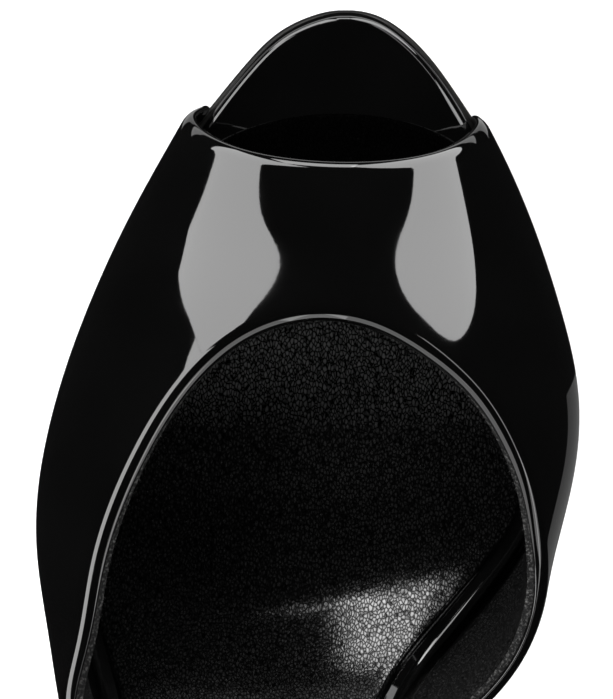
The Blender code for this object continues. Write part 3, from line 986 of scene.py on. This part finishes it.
def edge_ink():
    """Inked and burnished edge of the sole."""
    n = Nodes("sole_edge_ink")
    n.feed(Base_Color=n.ramp(n.noise(3, 3), 0.007, (0.012, 0.0115, 0.011)))
    n.feed(Roughness=n.ramp(n.noise(1.5, 3), 0.35, 0.5))
    n.set(Specular_IOR_Level=0.25)
    n.feed(Normal=n.bump(n.noise(0.6, 3), 0.01))
    return n.material


def lift_rubber():
    """Matt black rubber."""
    n = Nodes("lift_black_rubber")
    n.feed(Base_Color=n.ramp(n.noise(1.5, 4), 0.012, 0.024))
    n.feed(Roughness=n.ramp(n.noise(0.8, 3), 0.55, 0.75))
    n.feed(Normal=n.bump(n.noise(0.3, 4), 0.03))
    return n.material


# Pieces
add_vamp(patent_leather("upper_patent_black"))
raw_edge = raw_leather()
add_fibres(*add_lining(lining_leather(), raw_edge), raw_edge)
add_layer(
    "insole_wrapped", insole_edge, round_places(0, LENGTH, count=161),
    rim=[(0.0, OUTSOLE_THICK)] + rim_arc(INSOLE_RIM_WIDTH, INSOLE_RIM, INSOLE_TOP, steps=12),
    columns=24, finishes=[patent_leather("insole_patent_black")],
    replaces="insole")
add_layer(
    "sock_grained", sock_edge, round_places(SOCK_FRONT, SOCK_BACK, count=161),
    rim=[(0.0, INSOLE_TOP - SOCK_SUNK)] + rim_arc(SOCK_RIM, SOCK_RIM, SOCK_TOP, steps=6),
    columns=32, finishes=[sock_leather()],
    replaces="sock", crown=SOCK_CROWN, skive=SKIVE)
OUTSOLE_SIDE = floor_arc(OUTSOLE_RIM) + rim_arc(
    OUTSOLE_TOP_RIM, OUTSOLE_TOP_RIM, OUTSOLE_THICK, steps=5)
add_layer(
    "sole_unit", outsole_edge, breast_places(BREAST - BREAST_GAP, count=141),
    rim=GROOVE + OUTSOLE_SIDE, columns=20, finishes=[sole_leather(), edge_ink()],
    replaces="outsole", finish_of_ring=lambda i: int(i >= len(GROOVE)))
add_heel(patent_leather("heel_patent_black"))
add_lift(lift_rubber())

# Stage: a pale floor that curves up into a wall
FLOOR_RADIUS = 6.0
FLOOR_RINGS = [(0.02, 0.0), (1.0, 0.0), (3.0, 0.0)]  # radius and height
WALL_RADIUS = 2.0
WALL_TOP = 6.0
WALL_STEPS = 12
WALL_SIDES = 64


def add_stage():
    """The floor, which glows a little and isn't mirrored in the shoe."""
    turns = np.linspace(0, pi / 2, WALL_STEPS)
    rise = [(FLOOR_RADIUS + WALL_RADIUS * sin(t), WALL_RADIUS * (1 - cos(t))) for t in turns]
    rows = FLOOR_RINGS + rise + [(FLOOR_RADIUS + WALL_RADIUS, WALL_TOP)]
    around = np.linspace(0, 2 * pi, WALL_SIDES, endpoint=False)
    points = [(r * cos(a), r * sin(a), z) for r, z in rows for a in around]
    sides = loft_faces(len(rows), len(around))[:(len(rows) - 1) * len(around)]
    faces = [face[::-1] for face in sides] + [tuple(range(len(around)))]
    mesh = bpy.data.meshes.new("floor")
    mesh.from_pydata(points, [], faces)
    mesh.shade_smooth()
    n = Nodes("floor_pale")
    n.feed(Base_Color=n.ramp(n.noise(400, 2), 0.82, 0.86))
    n.set(Roughness=0.95, Emission_Color=(1, 1, 1, 1), Emission_Strength=0.55)
    mesh.materials.append(n.material)
    floor = bpy.data.objects.new("floor", mesh)
    bpy.context.scene.collection.objects.link(floor)
    floor.visible_glossy = False


add_stage()

# Light: softboxes round the toe, along both sides and at the back, nothing overhead
Softbox = namedtuple("Softbox", "name shape azimuth low high half_width roll radiance")
SOFTBOXES = [
    Softbox("front_left", "RECTANGLE", -27.5, 3, 37.5, 18, 13, 4.0),
    Softbox("front_right", "ELLIPSE", 27.5, -7, 36, 24.5, 0, 4.0),
    Softbox("front", "RECTANGLE", -2, 6, 22, 4.5, 0, 4.0),
    Softbox("left", "RECTANGLE", -80, 22, 57, 27.1, -16.6, 4.0),
    Softbox("right", "RECTANGLE", 88, 55, 63, 35.4, 7.1, 2.0),
    Softbox("back_left", "RECTANGLE", -145, 20, 55, 20, 0, 1.3),
    Softbox("back", "RECTANGLE", 180, 18, 50, 14, 0, 1.6),
    Softbox("back_right", "RECTANGLE", 145, 20, 55, 20, 0, 1.3),
]
SOFTBOX_DISTANCE = 1.4
AIM = Vector((0, 0.04, 0.03))

# White cards that lie on the floor beside the shoe
Card = namedtuple("Card", "name x y width length radiance")
CARDS = [
    Card("lip_left", -25, 103, 14, 22, 0.4),
    Card("lip_right", 36, 102, 14, 22, 0.4),
    Card("front", 5, 143, 150, 45, 1.0),
    Card("side", 58, 20, 22, 50, 0.13),
]
CARD_HEIGHT = 1.0

# Small panels that are flagged off from all but some pieces: where they shine, direction, distance,
# half angles, lean upwards
Flagged = namedtuple(
    "Flagged", "name x y z azimuth elevation distance half_width half_height lean radiance on")
SOCK = ("sock_grained",)
RIM = ("insole_wrapped",)
HEEL = ("heel_covered", "lift_rubber_tip")
FLAGGED = [
    Flagged("waist", 15, 0, 19, -12, 16, 45, 7, 9.5, 23, 9.5, SOCK),
    Flagged("rim", 25, -5, 18, 32, 38, 120, 12, 20, 0, 3.2, RIM),
    Flagged("rim_top", 27, 6, 15, -15, 27, 300, 4, 6, 0, 2.2, RIM),
    Flagged("heel_front_left", -5, -90, 45, -40, -8, 300, 7, 35, 0, 2.0, HEEL),
    Flagged("heel_front_right", -5, -90, 45, 40, -8, 300, 7, 35, 0, 2.0, HEEL),
    Flagged("heel_back_left", -5, -90, 45, -140, -8, 300, 7, 35, 0, 2.0, HEEL),
    Flagged("heel_back_right", -5, -90, 45, 140, -8, 300, 7, 35, 0, 2.0, HEEL),
]

# Share of its box that a panel fills
FILL = {"RECTANGLE": 1.0, "ELLIPSE": pi / 4}


def add_panel(name, shape, width, length, radiance, location, turn):
    """An area lamp that the camera doesn't see. Sizes are in metres."""
    light = bpy.data.lights.new(name, "AREA")
    light.shape = shape
    light.size = width
    light.size_y = length
    light.energy = radiance * pi * width * length * FILL[shape]
    lamp = bpy.data.objects.new(name, light)
    lamp.location = location
    lamp.rotation_mode = "QUATERNION"
    lamp.rotation_quaternion = turn
    lamp.visible_camera = False
    bpy.context.scene.collection.objects.link(lamp)
    return lamp


def direction(azimuth, elevation):
    """A direction from its angles in degrees from the toe's direction, and above the floor."""
    azimuth, elevation = radians(azimuth), radians(elevation)
    return Vector((sin(azimuth) * cos(elevation), cos(azimuth) * cos(elevation), sin(elevation)))


def add_softbox(box):
    """A panel that spans its angles."""
    towards = direction(box.azimuth, (box.low + box.high) / 2)
    width = 2 * SOFTBOX_DISTANCE * tan(radians(box.half_width))
    length = 2 * SOFTBOX_DISTANCE * tan(radians(box.high - box.low) / 2)
    turn = towards.to_track_quat("Z", "Y") @ Quaternion((0, 0, 1), radians(box.roll))
    add_panel(box.name, box.shape, width, length, box.radiance, AIM + towards * SOFTBOX_DISTANCE, turn)


def add_flagged(spot):
    """A small panel whose light falls on some pieces alone."""
    width = 2 * spot.distance * tan(radians(spot.half_width))
    length = 2 * spot.distance * tan(radians(spot.half_height))
    place = Vector((spot.x, spot.y, spot.z)) + direction(spot.azimuth, spot.elevation) * spot.distance
    turn = direction(spot.azimuth, spot.elevation - spot.lean).to_track_quat("Z", "Y")
    lamp = add_panel(spot.name, "RECTANGLE", width * MM, length * MM, spot.radiance, place * MM, turn)
    lit = bpy.data.collections.new(spot.name)
    for name in spot.on:
        lit.objects.link(bpy.data.objects[name])
    lamp.light_linking.receiver_collection = lit
    lamp.light_linking.blocker_collection = lit


for spot in FLAGGED:
    add_flagged(spot)
for card in CARDS:
    add_panel(
        card.name, "RECTANGLE", card.width * MM, card.length * MM, card.radiance,
        Vector((card.x, card.y, CARD_HEIGHT)) * MM, Quaternion((1, 0, 0), pi))
for softbox in SOFTBOXES:
    add_softbox(softbox)

world = bpy.data.worlds.new("studio")
world.use_nodes = True
world.node_tree.nodes["Background"].inputs["Color"].default_value = (0.006, 0.006, 0.006, 1)
bpy.context.scene.world = world
bpy.context.scene.view_settings.view_transform = "Standard"

# Camera: straight above the vamp
CAMERA_HEIGHT = 1250.0
CAMERA_BEHIND = 58.28
PIXELS_TALL = 699
FOCAL_PIXELS = 7257.0
camera = bpy.data.objects.new("camera", bpy.data.cameras.new("camera"))
camera.data.sensor_width = 36.0
camera.data.lens = FOCAL_PIXELS * camera.data.sensor_width / PIXELS_TALL
camera.location = (np.array([0, -CAMERA_BEHIND, CAMERA_HEIGHT]) + SHIFT) * MM
bpy.context.scene.collection.objects.link(camera)
bpy.context.scene.camera = camera
